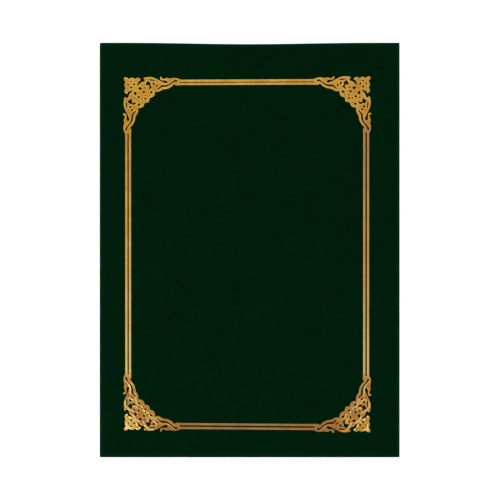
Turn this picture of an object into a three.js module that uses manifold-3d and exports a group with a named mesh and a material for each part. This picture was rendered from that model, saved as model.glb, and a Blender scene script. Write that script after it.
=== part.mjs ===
// A certificate holder: two greyboard covers wrapped in dark green leatherette, joined by a square
// spine with cloth hinges, lined inside, with satin ribbon corners that hold the sheet and a gold
// foil border stamped on the front. Millimetres. It lies closed on its back: +X points to the
// fore-edge, +Y to the head and +Z up through the front cover.

import * as THREE from 'three';
import { mergeVertices } from 'three/addons/utils/BufferGeometryUtils.js';
import Module from 'manifold-3d';

const wasm = await Module();
wasm.setup();

// Closed size
const holderWidth = 225;
const holderHeight = 311;
const headBow = 1.05; // how far the head edge draws in at its middle
const headBowSetback = 20.5; // from the spine and the fore-edge to where that draw begins
const bowShoulder = 0.6; // share of the draw's half length where it starts to fall
const bowCrown = 0.2; // and where it levels out

// Sheets and boards
const boardThickness = 2;
const spineBoardThickness = 1.2;
const wrapThickness = 0.4;
const stripThickness = 0.3; // inner strip that lines the hinges
const liningThickness = 0.6;
const ribbonThickness = 0.25;
const foilThickness = 0.1;
const glueLine = 0.05; // between two glued faces
const certificateGap = 1.4; // between the two linings when the holder is closed
const wrapRadius = 0.45; // rounding where the wrap turns over a board edge

// Turned edges and the margins inside
const turnIn = 15;
const mitreSlit = 0.3; // seam between two turn-ins at a corner
const mitreSetback = 2; // from the cover's edges to the outer end of that seam
const infillClearance = 0.3;
const stripWidth = 12; // inner strip on a cover, from the board's joint edge
const stripSetback = 2; // from the head and the tail to the ends of the inner strip
const liningMargin = 6; // turned wrap left showing round a lining
const liningGap = 0.8; // between a lining and the inner strip

// Hinges
const jointRadius = 1.5; // outside of the fold between a cover and the spine
const jointGap = 3.5; // from the spine's outer face to the joint edge of a cover board
const hingeSeam = 0.05; // at each end of a hinge cloth

// Ribbon corners on the back lining
const ribbonWidth = 10;
const ribbonReach = 30; // from the lining's corner to the middle of the ribbon, along an edge
const ribbonSlot = 0.35; // room for a certificate between ribbon and lining
const ribbonClearance = 0.1; // at the lining's edge
const ribbonFlap = 8; // end tucked under the lining, measured along the ribbon
const foldInset = 0.1; // the ribbon draws in a little where it folds
const flapInset = 0.4; // and a little more on its tucked ends
const pocketClearance = 0.3; // round a flap in the lining's underside
const pocketDepth = 0.35;

// Gold border on the front: distances from the cover's edges to the outer line
const borderFromSpine = 18.95;
const borderFromFore = 22.8;
const borderFromHead = 27.15;
const borderFromTail = 20.6;
const lineWidth = 1.85;
const lineGap = 0.87; // between the outer and the inner line
const lineSeam = 0.05; // between a line and the corner piece that it runs into
const armLength = 42.5; // corner piece, from the crossing of the outer lines along each line
const armRun = 1.1; // straight end of that arm, past its stems
const armSlit = 1.5; // how far the gap between the lines runs into the corner piece
const armKnob = 2.9; // from the arm's end back to the knob on its inner line
const knobRise = 0.1; // how far the knob stands past the inner line

// Facets
const curveSteps = 4;
const bowSteps = 6;
const edgeSteps = 2;
const hingeSteps = 6;
const eyeSteps = 8;
const overcut = 2; // cutting shapes run this far past what they cut

// Colours
const leatherette = { color: 0x001e0d, roughness: 0.75, metalness: 0 };
const greyboard = { color: 0x8f897d, roughness: 0.95, metalness: 0 };
const card = { color: 0xcfc8b8, roughness: 0.9, metalness: 0 };
const liningPaper = { color: 0xefe6d0, roughness: 0.85, metalness: 0 };
const satin = { color: 0xf3ecd9, roughness: 0.4, metalness: 0 };
const goldFoil = { color: 0xbc9044, roughness: 0.35, metalness: 1 };

// Levels through the back cover, from its outer face at zero
const boardLow = wrapThickness + glueLine;
const boardHigh = boardLow + boardThickness;
const turnInLow = boardHigh + glueLine;
const turnInHigh = turnInLow + wrapThickness;
const liningLow = turnInHigh + glueLine;
const liningHigh = liningLow + liningThickness;
const holderThickness = 2 * liningHigh + certificateGap;
const frontFace = holderThickness;

// Places across the holder
const spineFace = -holderWidth / 2;
const foreEdge = holderWidth / 2;
const headEdge = holderHeight / 2;
const hingeEdge = spineFace + jointRadius + hingeSeam;
const boardJointEdge = spineFace + jointGap;
const stripEdge = boardJointEdge + stripWidth;
const liningLeft = stripEdge + liningGap;
const liningRight = foreEdge - liningMargin;
const liningHead = headEdge - liningMargin;

// The front cover is the back cover turned over, so heights pass through one of these
const onBack = (z) => z;
const onFront = (z) => holderThickness - z;

const holder = new THREE.Group();

function addPiece(name, geometry, finish) {
  const piece = new THREE.Mesh(geometry, new THREE.MeshStandardMaterial(finish));
  piece.name = name;
  holder.add(piece);
}

function toSolid(geometry) {
  const bare = geometry.clone();
  bare.deleteAttribute('normal');
  bare.deleteAttribute('uv');
  const welded = mergeVertices(bare);
  return new wasm.Manifold(
    new wasm.Mesh({
      numProp: 3,
      vertProperties: new Float32Array(welded.attributes.position.array),
      triVerts: new Uint32Array(welded.index.array),
    }),
  );
}

function toGeometry(solid) {
  const mesh = solid.getMesh();
  const geometry = new THREE.BufferGeometry();
  geometry.setAttribute('position', new THREE.BufferAttribute(new Float32Array(mesh.vertProperties), 3));
  geometry.setIndex(new THREE.BufferAttribute(new Uint32Array(mesh.triVerts), 1));
  geometry.computeVertexNormals();
  return geometry;
}

function block(x0, x1, y0, y1, z0, z1) {
  const box = new THREE.BoxGeometry(x1 - x0, y1 - y0, Math.abs(z1 - z0));
  return box.translate((x0 + x1) / 2, (y0 + y1) / 2, (z0 + z1) / 2);
}

// A flat outline raised between two heights, given in either order
function plate(shape, zA, zB) {
  const settings = { depth: Math.abs(zB - zA), bevelEnabled: false, curveSegments: bowSteps };
  return new THREE.ExtrudeGeometry(shape, settings).translate(0, 0, Math.min(zA, zB));
}

// The same with its edges rounded, for the outside of a wrapped cover
function roundedPlate(shape, zA, zB) {
  const settings = {
    depth: Math.abs(zB - zA) - 2 * wrapRadius,
    bevelEnabled: true,
    bevelThickness: wrapRadius,
    bevelSize: wrapRadius,
    bevelOffset: -wrapRadius,
    bevelSegments: edgeSteps,
    curveSegments: bowSteps,
  };
  return new THREE.ExtrudeGeometry(shape, settings).translate(0, 0, Math.min(zA, zB) + wrapRadius);
}

// A section drawn in X and Z, run from the tail towards the head, short of both edges by setback
function runAlongSpine(section, setback) {
  const length = holderHeight - 2 * setback;
  const settings = { depth: length, bevelEnabled: false };
  return new THREE.ExtrudeGeometry(new THREE.Shape(section), settings)
    .rotateX(Math.PI / 2)
    .translate(0, length / 2, 0);
}

// Outline of a cover, inset from head, tail and fore-edge; its head edge draws in towards the middle
function coverShape(left, inset) {
  const right = foreEdge - inset;
  const head = headEdge - inset;
  const half = foreEdge - headBowSetback;
  const shoulder = bowShoulder * half;
  const crown = bowCrown * half;
  const shape = new THREE.Shape();
  shape.moveTo(left, -head);
  shape.lineTo(right, -head);
  shape.lineTo(right, head);
  shape.lineTo(half, head);
  shape.bezierCurveTo(shoulder, head, crown, head - headBow, 0, head - headBow);
  shape.bezierCurveTo(-crown, head - headBow, -shoulder, head, -half, head);
  shape.lineTo(left, head);
  shape.closePath();
  return shape;
}

// Leatherette of one cover: outer face, three turned edges and mitred turn-ins round the board
function coverWrap(level) {
  const past = spineFace - overcut;
  const farPast = past - overcut;
  const high = turnInHigh + overcut;
  const widest = headEdge + overcut;
  let wrap = toSolid(roundedPlate(coverShape(past, 0), level(0), level(turnInHigh)));
  const cut = (geometry) => {
    wrap = wrap.subtract(toSolid(geometry));
  };
  cut(plate(coverShape(farPast, wrapThickness), level(wrapThickness), level(turnInLow)));
  cut(plate(coverShape(farPast, turnIn), level(boardLow), level(high)));
  cut(block(farPast, boardJointEdge, -widest, widest, level(wrapThickness), level(high)));
  cut(block(farPast, hingeEdge, -widest, widest, level(-overcut), level(high)));
  for (const side of [1, -1]) {
    const inner = turnIn + mitreSlit;
    const seam = new THREE.BoxGeometry(
      (inner - mitreSetback) * Math.SQRT2,
      mitreSlit,
      wrapThickness + 2 * glueLine,
    );
    const middle = (inner + mitreSetback) / 2;
    seam.rotateZ((side * Math.PI) / 4);
    seam.translate(foreEdge - middle, side * (headEdge - middle), level((turnInLow + turnInHigh) / 2));
    cut(seam);
  }
  return toGeometry(wrap);
}

function coverBoard(level) {
  return plate(coverShape(boardJointEdge, wrapThickness + glueLine), level(boardLow), level(boardHigh));
}

// Card that levels the inside of the board between the turn-ins
function coverInfill(level) {
  return plate(coverShape(boardJointEdge, turnIn + infillClearance), level(turnInLow), level(turnInHigh));
}

// Inner strip: a foot in the hinge, up over the joint edge of the board and onto the cover
function innerStrip(level) {
  const riserRight = boardJointEdge - glueLine;
  const riserLeft = riserRight - stripThickness;
  const section = [
    [hingeEdge, boardLow],
    [riserRight, boardLow],
    [riserRight, liningLow],
    [stripEdge, liningLow],
    [stripEdge, liningLow + stripThickness],
    [riserLeft, liningLow + stripThickness],
    [riserLeft, boardLow + stripThickness],
    [hingeEdge, boardLow + stripThickness],
  ];
  return runAlongSpine(section.map(([x, z]) => new THREE.Vector2(x, level(z))), stripSetback);
}

function coverLining(level) {
  return block(liningLeft, liningRight, -liningHead, liningHead, level(liningLow), level(liningHigh));
}

// Hinge cloth: wrap and inner strip bonded together, folded a quarter turn round the joint
function hingeCloth(level) {
  const inner = jointRadius - wrapThickness - stripThickness;
  const point = (radius, turn) =>
    new THREE.Vector2(
      spineFace + jointRadius - radius * Math.cos(turn),
      level(jointRadius - radius * Math.sin(turn)),
    );
  const outerRun = [];
  const innerRun = [];
  for (let i = 0; i <= hingeSteps; i++) {
    const turn = (i / hingeSteps) * (Math.PI / 2);
    outerRun.push(point(jointRadius, turn));
    innerRun.push(point(inner, turn));
  }
  return runAlongSpine([...outerRun, ...innerRun.reverse()], 0);
}

// Spine: board, wrap with turn-ins at head and tail, and the inner strip round its inside
const spineBoardIn = spineFace + wrapThickness + glueLine;
const spineBoardOut = spineBoardIn + spineBoardThickness;
const spineTurnIn = spineBoardOut + glueLine;
const spineStripIn = spineTurnIn + wrapThickness + glueLine;
const spineStripOut = spineStripIn + stripThickness;
const spineLow = jointRadius + hingeSeam;
const spineBoardLow = spineLow + stripThickness + glueLine;

function spineBoard() {
  const end = headEdge - wrapThickness - glueLine;
  return block(spineBoardIn, spineBoardOut, -end, end, spineBoardLow, onFront(spineBoardLow));
}

function spineWrap() {
  const lip = spineTurnIn + wrapThickness;
  const sheetIn = spineFace + wrapThickness;
  const wallEnd = headEdge - wrapThickness;
  const lipEnd = headEdge - turnIn;
  const low = spineLow - overcut;
  const high = onFront(low);
  const sheet = block(spineFace, sheetIn, -headEdge, headEdge, spineLow, onFront(spineLow));
  const turned = block(spineFace, lip, -headEdge, headEdge, spineBoardLow, onFront(spineBoardLow));
  const pocket = block(sheetIn, spineTurnIn, -wallEnd, wallEnd, low, high);
  const opening = block(spineBoardOut, lip + overcut, -lipEnd, lipEnd, low, high);
  const shell = toSolid(turned).subtract(toSolid(pocket)).subtract(toSolid(opening));
  return toGeometry(shell.add(toSolid(sheet)));
}

function spineStrip() {
  const legLow = spineLow;
  const legHigh = spineLow + stripThickness;
  const section = [
    [spineBoardIn, legLow],
    [spineStripOut, legLow],
    [spineStripOut, onFront(legLow)],
    [spineBoardIn, onFront(legLow)],
    [spineBoardIn, onFront(legHigh)],
    [spineStripIn, onFront(legHigh)],
    [spineStripIn, legHigh],
    [spineBoardIn, legHigh],
  ];
  return runAlongSpine(section.map(([x, z]) => new THREE.Vector2(x, z)), stripSetback);
}

// Ribbon corners. At a lining corner, u and v run inwards along its two edges, and the ribbon
// crosses where u + v lies within its width; each end folds under the lining and back on itself.
const liningCorners = [
  { name: 'head_spine', x: liningLeft, y: liningHead, turnX: 1, turnY: -1 },
  { name: 'head_fore', x: liningRight, y: liningHead, turnX: -1, turnY: -1 },
  { name: 'tail_spine', x: liningLeft, y: -liningHead, turnX: 1, turnY: 1 },
  { name: 'tail_fore', x: liningRight, y: -liningHead, turnX: -1, turnY: 1 },
];
const ribbonNear = ribbonReach - ribbonWidth / Math.SQRT2;
const ribbonFar = ribbonReach + ribbonWidth / Math.SQRT2;
const ribbonFace = ribbonClearance + ribbonThickness; // outside of the fold, from the lining's edge
const flapRun = ribbonFlap / Math.SQRT2;

// An outline in u and v, laid at a corner; swapped exchanges the two edges
function cornerPlate(corner, outline, swapped, zLow, zHigh) {
  const points = outline.map(([u, v]) => {
    const along = swapped ? v : u;
    const across = swapped ? u : v;
    return new THREE.Vector2(corner.x + corner.turnX * along, corner.y + corner.turnY * across);
  });
  return toSolid(plate(new THREE.Shape(points), zLow, zHigh));
}

// Tucked end, widened by a margin for the pocket that takes it
function flapOutline(margin) {
  const edge = -ribbonFace / 2 - margin;
  const near = ribbonNear + flapInset - 2 * margin;
  const far = ribbonFar - flapInset + 2 * margin;
  const run = flapRun + 2 * margin;
  return [
    [near, edge],
    [far, edge],
    [far + run, edge + run],
    [near + run, edge + run],
  ];
}

function cornerRibbon(corner) {
  const low = liningLow;
  const top = liningHigh + ribbonSlot + ribbonThickness;
  const band = [
    [ribbonNear + ribbonFace, -ribbonFace],
    [ribbonFar + ribbonFace, -ribbonFace],
    [-ribbonFace, ribbonFar + ribbonFace],
    [-ribbonFace, ribbonNear + ribbonFace],
  ];
  const foldNear = ribbonNear + foldInset;
  const foldFar = ribbonFar - foldInset;
  const fold = [
    [foldNear + ribbonFace, -ribbonFace],
    [foldFar + ribbonFace, -ribbonFace],
    [foldFar + ribbonClearance, -ribbonClearance],
    [foldNear + ribbonClearance, -ribbonClearance],
  ];
  let ribbon = cornerPlate(corner, band, false, top - ribbonThickness, top);
  for (const swapped of [false, true]) {
    ribbon = ribbon.add(cornerPlate(corner, fold, swapped, low, top));
    ribbon = ribbon.add(cornerPlate(corner, flapOutline(0), swapped, low, low + ribbonThickness));
  }
  return toGeometry(ribbon);
}

// The back lining with shallow pockets underneath for the tucked ribbon ends
function pocketedLining() {
  let lining = toSolid(coverLining(onBack));
  for (const corner of liningCorners) {
    for (const swapped of [false, true]) {
      const pocket = flapOutline(pocketClearance);
      lining = lining.subtract(
        cornerPlate(corner, pocket, swapped, liningLow - overcut, liningLow + pocketDepth),
      );
    }
  }
  return toGeometry(lining);
}

// Corner piece of the gold border. From the crossing of the outer lines, u runs along one line and v
// along the other, inwards. Each row is the end of an arc and its rise: outwards where positive.
// The outline runs out along one arm and back to the diagonal, and the other arm mirrors it. The
// drawing is sized so that the stems end where the straight run of the arm begins.
const bandWidth = 2 * lineWidth + lineGap;
const cornerStart = [-1.15, -1.15];
const outwardArcs = [
  [2.3, 0.2, 0.75], // tip of the fleuron
  [7.2, 0.1, 1.1],
  [11.45, 0.6, 1.3], // curl beside the tip
  [10.3, 1.75, 0.35],
  [9.45, 2.6, -0.15],
  [8.4, 4.9, 0.35],
  [9, 5.15, -0.2],
  [11.2, 3, -0.2],
  [14.2, 1.9, 0.1],
  [13.4, -0.1, -0.7], // long leaf over the line
  [14.6, -1.05, 0.25],
  [21.5, -1, 0.5],
  [25.2, 0.7, 0.05],
  [29.6, 2.85, 0],
  [31.9, 2.4, -0.4],
  [30.4, 0.9, -0.2],
  [26.6, 0.65, 0.15], // tendril and its bud
  [25.95, -1.4, 0.33],
  [27.3, -1.2, 0.65],
  [29.3, -0.5, -0.5],
  [33.4, -0.65, 0.6],
  [41.4, 0, 1.05], // outer stem runs into the outer line
];
const armEndArcs = [
  [armLength, 0, 0],
  [armLength, lineWidth, 0],
  [armLength - armSlit, lineWidth, 0],
  [armLength - armSlit, lineWidth + lineGap, -lineGap / 3],
  [armLength, lineWidth + lineGap, 0],
  [armLength, bandWidth, 0],
  [armLength - armKnob, bandWidth + knobRise, 0],
];
const inwardArcs = [
  [37.2, 4, 0.35],
  [36, 4.6, -0.35],
  [28.4, 7.8, 0.9], // inner stem
  [25.6, 9.45, 0],
  [22.2, 9.5, 0.3],
  [18.1, 14.5, 1.6], // petals on the inside of the corner
  [17.55, 17.55, 0.15],
];
const drawnRun = outwardArcs.at(-1)[0];
const cornerScale = (armLength - armRun) / drawnRun;
const toSize = (row) => row.map((value) => value * cornerScale);

// Oval eyes cut through the piece: centre, half length, half width and slant in degrees
const cornerEyes = [
  [4.2, 1.9, 1.05, 0.28, 19],
  [6.45, 4.2, 0.85, 0.58, 75],
  [10.95, 7.3, 1.3, 0.95, 10],
  [14.5, 6.8, 0.52, 0.42, 0],
  [13.7, 9.9, 0.9, 0.68, 115],
  [14.9, 12.5, 0.48, 0.38, 0],
  [19.3, 10.15, 1.05, 0.72, 130],
  [18.1, 12.3, 0.36, 0.3, 0],
  [21.2, 3.65, 1, 0.55, 48],
  [23.5, 5.1, 0.95, 0.48, 115],
  [19.9, 0.85, 2.6, 0.32, 4],
];
const diagonalEye = [14.9, 14.9, 0.68, 0.68, 0];

// Larger openings, as closed runs of arcs that start and end at the last point
const cornerOpenings = [
  [
    [15.1, 4.75, -0.1],
    [17.8, 4.85, 0.15],
    [18.8, 3.4, -0.35],
    [17.5, 2.2, -0.1],
    [16.75, 1.8, -0.2],
  ],
  [
    [18.95, 5.2, 0.1],
    [19.1, 6.9, 0.4],
    [17.5, 8.1, 0.1],
    [18.1, 6.7, 0],
    [18, 5.4, -0.15],
  ],
];

// The slit that parts the outer stem from the inner one: centre line and half width
const stemSlit = [
  [24.2, 7.7, 0.2],
  [26, 6.4, 0.32],
  [27.1, 5.4, 0.52],
  [30.2, 5.2, 0.48],
  [33, 4.2, 0.32],
  [35.2, 2.3, 0.28],
  [36.8, 1.15, 0.4],
  [38, 0.85, 0.55],
  [38.9, 0.8, 0.3],
];

// Points along one arc, without its start; a rise of zero gives a straight line
function arcPoints(start, [u, v, rise]) {
  const end = new THREE.Vector2(u, v);
  if (rise === 0) return [end];
  const lean = new THREE.Vector2(end.y - start.y, start.x - end.x).setLength(2 * rise);
  const middle = start.clone().add(end).multiplyScalar(0.5);
  return new THREE.QuadraticBezierCurve(start, middle.add(lean), end).getPoints(curveSteps).slice(1);
}

function arcRun(start, arcs) {
  const points = [new THREE.Vector2(...start)];
  for (const arc of arcs) {
    points.push(...arcPoints(points.at(-1), arc));
  }
  return points;
}

function eyePoints([u, v, halfLength, halfWidth, slant]) {
  const turn = THREE.MathUtils.degToRad(slant);
  const oval = toSize([u, v, halfLength, halfWidth]);
  return new THREE.EllipseCurve(...oval, 0, 2 * Math.PI, false, turn).getPoints(eyeSteps).slice(1);
}

function slitPoints(rows) {
  const line = new THREE.SplineCurve(rows.map(([u, v]) => new THREE.Vector2(u, v)));
  const side = (i, sign) => {
    const along = line.getTangent(i / (rows.length - 1));
    const [u, v, halfWidth] = rows[i];
    return new THREE.Vector2(u - sign * halfWidth * along.y, v + sign * halfWidth * along.x);
  };
  const one = rows.map((row, i) => side(i, 1));
  const other = rows.map((row, i) => side(i, -1)).reverse();
  const edge = (points) => new THREE.SplineCurve(points).getPoints(2 * (points.length - 1));
  return [...edge(one), ...edge(other)];
}

function cornerFoil(corner) {
  const swap = (points) => points.map((p) => new THREE.Vector2(p.y, p.x));
  const place = (points) =>
    points.map((p) => new THREE.Vector2(corner.x + corner.turnX * p.x, corner.y + corner.turnY * p.y));
  const half = arcRun(toSize(cornerStart), [
    ...outwardArcs.map(toSize),
    ...armEndArcs,
    ...inwardArcs.map(toSize),
  ]);
  const mirrored = swap(half).slice(1, -1).reverse();
  const outline = place([...half, ...mirrored]);
  if (THREE.ShapeUtils.isClockWise(outline)) outline.reverse();
  const shape = new THREE.Shape(outline);
  const openings = [
    ...cornerEyes.map(eyePoints),
    ...cornerOpenings.map((rows) => {
      const arcs = rows.map(toSize);
      return arcRun(arcs.at(-1).slice(0, 2), arcs).slice(1);
    }),
    slitPoints(stemSlit.map(toSize)),
  ];
  for (const points of openings) {
    shape.holes.push(new THREE.Path(place(points)));
    shape.holes.push(new THREE.Path(place(swap(points))));
  }
  shape.holes.push(new THREE.Path(place(eyePoints(diagonalEye))));
  return plate(shape, frontFace + glueLine, frontFace + glueLine + foilThickness);
}

const borderLeft = spineFace + borderFromSpine;
const borderRight = foreEdge - borderFromFore;
const borderHead = headEdge - borderFromHead;
const borderTail = borderFromTail - headEdge;
const borderCorners = [
  { name: 'head_spine', x: borderLeft, y: borderHead, turnX: 1, turnY: -1 },
  { name: 'head_fore', x: borderRight, y: borderHead, turnX: -1, turnY: -1 },
  { name: 'tail_spine', x: borderLeft, y: borderTail, turnX: 1, turnY: 1 },
  { name: 'tail_fore', x: borderRight, y: borderTail, turnX: -1, turnY: 1 },
];

// One straight line of the border, a set distance in from the outer line's edge
function borderLine(side, distance) {
  const near = armLength + lineSeam;
  const far = distance + lineWidth;
  const low = frontFace + glueLine;
  const high = low + foilThickness;
  const across = [borderLeft + near, borderRight - near];
  const along = [borderTail + near, borderHead - near];
  if (side === 'head') return block(...across, borderHead - far, borderHead - distance, low, high);
  if (side === 'tail') return block(...across, borderTail + distance, borderTail + far, low, high);
  if (side === 'spine') return block(borderLeft + distance, borderLeft + far, ...along, low, high);
  return block(borderRight - far, borderRight - distance, ...along, low, high);
}

// Back cover
addPiece('back_wrap', coverWrap(onBack), leatherette);
addPiece('back_board', coverBoard(onBack), greyboard);
addPiece('back_infill', coverInfill(onBack), card);
addPiece('back_inner_strip', innerStrip(onBack), leatherette);
addPiece('back_lining', pocketedLining(), liningPaper);
for (const corner of liningCorners) {
  addPiece(`ribbon_${corner.name}`, cornerRibbon(corner), satin);
}

// Spine and hinges
addPiece('back_hinge_cloth', hingeCloth(onBack), leatherette);
addPiece('spine_wrap', spineWrap(), leatherette);
addPiece('spine_board', spineBoard(), greyboard);
addPiece('spine_inner_strip', spineStrip(), leatherette);
addPiece('front_hinge_cloth', hingeCloth(onFront), leatherette);

// Front cover
addPiece('front_wrap', coverWrap(onFront), leatherette);
addPiece('front_board', coverBoard(onFront), greyboard);
addPiece('front_infill', coverInfill(onFront), card);
addPiece('front_inner_strip', innerStrip(onFront), leatherette);
addPiece('front_lining', coverLining(onFront), liningPaper);
for (const corner of borderCorners) {
  addPiece(`foil_corner_${corner.name}`, cornerFoil(corner), goldFoil);
}
for (const side of ['head', 'tail', 'spine', 'fore']) {
  addPiece(`foil_line_${side}_outer`, borderLine(side, 0), goldFoil);
  addPiece(`foil_line_${side}_inner`, borderLine(side, lineWidth + lineGap), goldFoil);
}

export default holder;
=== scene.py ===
# A dark green certificate holder with a gold foil border. It lies closed on a pale floor, seen from
# straight above. Sizes in the dictionaries are millimetres.
import math

import bmesh
import bpy
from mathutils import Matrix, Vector, kdtree, noise


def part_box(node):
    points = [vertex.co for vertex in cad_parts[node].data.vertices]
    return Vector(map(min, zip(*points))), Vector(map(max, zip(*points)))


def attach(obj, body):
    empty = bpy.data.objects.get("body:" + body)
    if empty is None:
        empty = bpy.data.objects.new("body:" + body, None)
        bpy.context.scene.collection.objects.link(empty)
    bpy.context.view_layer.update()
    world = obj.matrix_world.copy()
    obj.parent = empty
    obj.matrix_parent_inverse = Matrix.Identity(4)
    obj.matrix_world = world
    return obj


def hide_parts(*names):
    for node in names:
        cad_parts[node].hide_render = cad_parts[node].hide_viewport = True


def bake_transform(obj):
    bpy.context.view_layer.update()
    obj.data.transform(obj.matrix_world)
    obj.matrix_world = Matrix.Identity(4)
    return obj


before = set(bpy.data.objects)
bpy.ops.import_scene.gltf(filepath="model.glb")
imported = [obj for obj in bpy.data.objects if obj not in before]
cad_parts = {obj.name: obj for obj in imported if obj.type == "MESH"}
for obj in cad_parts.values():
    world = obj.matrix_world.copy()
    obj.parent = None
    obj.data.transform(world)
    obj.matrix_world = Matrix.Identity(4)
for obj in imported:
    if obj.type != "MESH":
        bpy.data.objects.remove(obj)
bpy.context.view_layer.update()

scene = bpy.context.scene
mm = 0.001
print("frame loaded:", len(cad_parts), "nodes")


def toLinear(hexColour):
    digits = hexColour.lstrip("#")
    channels = [int(digits[i:i + 2], 16) / 255 for i in (0, 2, 4)]
    return [c / 12.92 if c <= 0.04045 else ((c + 0.055) / 1.055) ** 2.4 for c in channels] + [1]


def smoothStep(low, high, value):
    share = min(max((value - low) / (high - low), 0), 1)
    return share * share * (3 - 2 * share)


def boxOf(node):
    low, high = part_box(node)
    return [c / mm for c in low], [c / mm for c in high]


# A node's inputs by name or number, as values or as the nodes or outputs that feed them
def setInputs(tree, node, inputs):
    for key, value in inputs.items():
        socket = next(s for i, s in enumerate(node.inputs) if s.enabled and key in (i, s.name))
        if isinstance(value, bpy.types.Node):
            value = next(s for s in value.outputs if s.enabled)
        if isinstance(value, bpy.types.NodeSocket):
            tree.links.new(value, socket)
        else:
            socket.default_value = value


# A node with its settings by name, its inputs, and its ramp stops as (place, hex)
def addNode(tree, kind, inputs=None, stops=(), **settings):
    node = tree.nodes.new("ShaderNode" + kind)
    for name, value in settings.items():
        setattr(node, name, value)
    setInputs(tree, node, inputs or {})
    for i, (place, colour) in enumerate(stops):
        ramp = node.color_ramp.elements
        stop = ramp[i] if i < len(ramp) else ramp.new(place)
        stop.position = place
        stop.color = toLinear(colour)
    return node


# A pair as the two inputs that limit a range
def limits(name, pair):
    return {f"{name} Min": pair[0], f"{name} Max": pair[1]}


# A texture's scale is in repeats to the metre, so that a size in millimetres gives it
def repeats(size):
    return 1 / (size * mm)


# A wave repeats once in 2 pi / 20 of its own length, so its scale is that much lower
def waveRepeats(size):
    return repeats(size) * 2 * math.pi / 20


def newMaterial(name):
    material = bpy.data.materials.new(name)
    material.use_nodes = True
    tree = material.node_tree
    shader = tree.nodes["Principled BSDF"]
    place = addNode(tree, "TexCoord").outputs["Object"]
    return material, tree, shader, place


# Leatherette: paper with a dyed coating, pressed with a fine hide grain while it is warm. It drinks
# nearly all light, with soft clouds in the dye and a few pale flecks. A lighter green along turned
# edges and by the spine is a painted highlight, where light rolls over the rounded edges.
leatheretteLook = {
    "dark": "#001909",
    "light": "#001c0b",
    "fleck": "#0a3827",
    "paintedHighlight": "#002510",
    "cloud": 16,
    "fleckSpacing": 7,
    "fleckShare": (0.02, 0.09),
    "fleckTone": (0.8, 0),
    "pebble": 1.1,
    "pore": 0.3,
    "poreShare": 0.5,
    "grainRange": (0.3, 1),
    "grainTone": (1.22, 0.82),
    "relief": 0.04,
    "roughness": (0.58, 0.74),
}


def leatheretteMaterial(look):
    material, tree, shader, place = newMaterial("leatherette")
    pebbles = addNode(
        tree, "TexVoronoi", {"Vector": place, "Scale": repeats(look["pebble"])},
        feature="SMOOTH_F1",
    )
    pores = addNode(
        tree, "TexNoise",
        {"Vector": place, "Scale": repeats(look["pore"]), "Detail": 3, "Roughness": 0.6},
    )
    grain = addNode(
        tree, "Math",
        {0: pores.outputs["Fac"], 1: look["poreShare"], 2: pebbles.outputs["Distance"]},
        operation="MULTIPLY_ADD",
    )
    cloud = addNode(
        tree, "TexNoise",
        {"Vector": place, "Scale": repeats(look["cloud"]), "Detail": 5, "Roughness": 0.65},
    )
    dye = addNode(
        tree, "ValToRGB", {"Fac": cloud.outputs["Fac"]},
        stops=[(0.35, look["dark"]), (0.65, look["light"])],
    )
    # The coating is thin on the tops of the pebbles and thick in the creases
    pooled = addNode(
        tree, "MapRange",
        {"Value": grain, **limits("From", look["grainRange"]), **limits("To", look["grainTone"])},
    )
    grained = addNode(
        tree, "Mix", {"Factor": 1, "A": dye, "B": pooled},
        data_type="RGBA", blend_type="MULTIPLY",
    )
    flecks = addNode(tree, "TexVoronoi", {"Vector": place, "Scale": repeats(look["fleckSpacing"])})
    fleckMask = addNode(
        tree, "MapRange",
        {
            "Value": flecks.outputs["Distance"],
            **limits("From", look["fleckShare"]),
            **limits("To", look["fleckTone"]),
        },
    )
    flecked = addNode(
        tree, "Mix", {"Factor": fleckMask, "A": grained, "B": toLinear(look["fleck"])},
        data_type="RGBA",
    )
    # Painted highlight: a lighter green mixed in along turned edges and by the spine
    edgeHighlight = addNode(tree, "Attribute", attribute_name="edgeHighlight")
    paintedHighlight = addNode(tree, "Math", {0: edgeHighlight.outputs["Fac"], 1: pooled}, operation="MULTIPLY")
    colour = addNode(
        tree, "Mix", {"Factor": paintedHighlight, "A": flecked, "B": toLinear(look["paintedHighlight"])},
        data_type="RGBA",
    )
    bump = addNode(
        tree, "Bump", {"Height": grain, "Strength": 0.6, "Distance": look["relief"] * mm},
    )
    rough = addNode(
        tree, "MapRange", {"Value": pores.outputs["Fac"], **limits("To", look["roughness"])},
    )
    setInputs(tree, shader, {
        "Base Color": colour,
        "Roughness": rough,
        "Normal": bump,
        "IOR": 1.5,
        "Specular IOR Level": 0.008,
    })
    return material


# Gold foil: a film of aluminium under amber lacquer, stamped hot. The lacquer gives an orange gold,
# over the leatherette's grain, which breaks up its gloss. Painted light lies on it through each
# point's tone: paler rims, strands and fleuron tip are painted highlights, darker dishes painted
# shade.
foilLook = {
    "brown": "#9a6a42",
    "deep": "#c8842a",
    "warm": "#dfa535",
    "pale": "#fde490",
    "haze": "#b4946e",
    "grain": 0.35,
    "relief": 0.008,
    "blotch": 12,
    "blotchRange": (0.3, 0.7),
    "blotchShift": (-0.13, 0.13),
    "roughness": (0.2, 0.32),
}


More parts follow.
